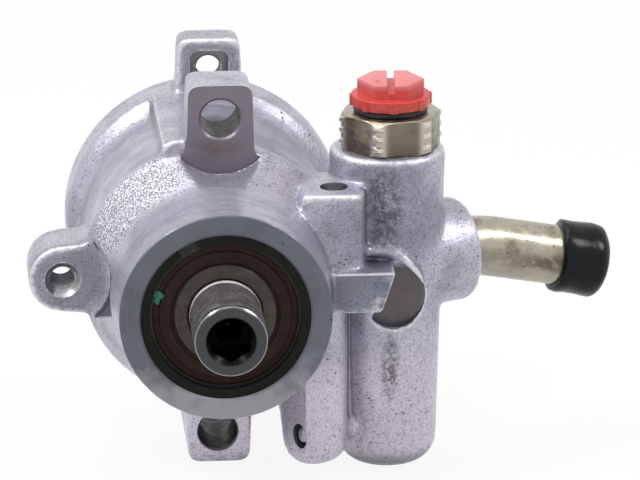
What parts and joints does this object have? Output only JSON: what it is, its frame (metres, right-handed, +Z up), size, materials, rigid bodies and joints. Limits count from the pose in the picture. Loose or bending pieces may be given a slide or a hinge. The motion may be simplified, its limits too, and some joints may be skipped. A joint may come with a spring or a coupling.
{
  "type": "power steering pump",
  "caption": "Die-cast vane pump for power steering, with a splined rotor in a cam ring, a flow control valve column, a plugged union and a capped return tube.",
  "frame": {"origin": "where the shaft axis meets the hub's front face", "axes": "+Y along the shaft to the rear, +X towards the valve column, +Z up the valve column"},
  "size_m": [0.1413, 0.1063, 0.0962],
  "materials": {
    "cast_aluminium": "rough die cast with machined faces",
    "dark_steel": "hardened and ground",
    "bearing_steel": "ground",
    "spring_steel": "phosphated",
    "sintered_steel": "ground",
    "brown_seal": "matte",
    "black_rubber": "matte",
    "olive_zinc": "dull zinc plating",
    "yellow_zinc": "yellow zinc plating",
    "red_plastic": "semi-gloss",
    "black_vinyl": "gloss"
  },
  "bodies": {
    "pump": {"housing": "cast_aluminium", "bearing_outer_race": "bearing_steel", "bearing_seals": "brown_seal", "bearing_retaining_ring": "spring_steel", "shaft_seal": "black_rubber", "thrust_plate": "sintered_steel", "cam_ring": "sintered_steel", "pressure_plate": "sintered_steel", "pressure_plate_o_ring": "black_rubber", "pressure_spring": "spring_steel", "end_cover": "sintered_steel", "end_cover_o_ring": "black_rubber", "cover_retaining_ring": "spring_steel", "dowel_pins": "bearing_steel", "flow_control_spring": "spring_steel", "discharge_fitting": "olive_zinc", "fitting_o_ring": "black_rubber", "return_tube": "yellow_zinc", "passage_plug": "bearing_steel"},
    "rotating_group": {"drive_shaft": "dark_steel", "bearing_inner_race": "bearing_steel", "rotor": "sintered_steel", "vanes": "bearing_steel", "rotor_retaining_ring": "spring_steel"},
    "ball_set": {"bearing_balls": "bearing_steel", "bearing_cage": "spring_steel"},
    "spool": {"flow_control_spool": "bearing_steel"},
    "plug_seal": {"plug_o_ring": "black_rubber"},
    "plug": {"shipping_plug": "red_plastic"},
    "cap": {"tube_cap": "black_vinyl"}
  },
  "joints": [
    {"name": "shaft_spin", "type": "hinge", "parent": "pump", "child": "rotating_group", "pos_m": [0, 0, 0], "axis": [0, 1, 0], "continuous": true},
    {"name": "ball_set_spin", "type": "hinge", "parent": "pump", "child": "ball_set", "pos_m": [0, 0, 0], "axis": [0, 1, 0], "continuous": true},
    {"name": "spool_slide", "type": "slide", "parent": "pump", "child": "spool", "axis": [0, 0, -1], "range_m": [0, 0.008], "stiffness_N_per_m": 4000, "springref_m": -0.005, "deforming": ["flow_control_spring"]},
    {"name": "plug_lift", "type": "slide", "parent": "pump", "child": "plug_seal", "axis": [0, 0, 1], "range_m": [0, 0.0075]},
    {"name": "plug_turn", "type": "hinge", "parent": "plug_seal", "child": "plug", "pos_m": [0.042, 0.04, 0], "axis": [0, 0, 1], "range_deg": [0, 1800]},
    {"name": "cap_pull", "type": "slide", "parent": "pump", "child": "cap", "axis": [0.9681, 0.1431, -0.2055], "range_m": [0, 0.016]}
  ],
  "couplings": [
    {"joint": "ball_set_spin", "follows": "shaft_spin", "ratio": 0.38261},
    {"joint": "plug_turn", "follows": "plug_lift", "rad_per_m": 4188.8}
  ]
}
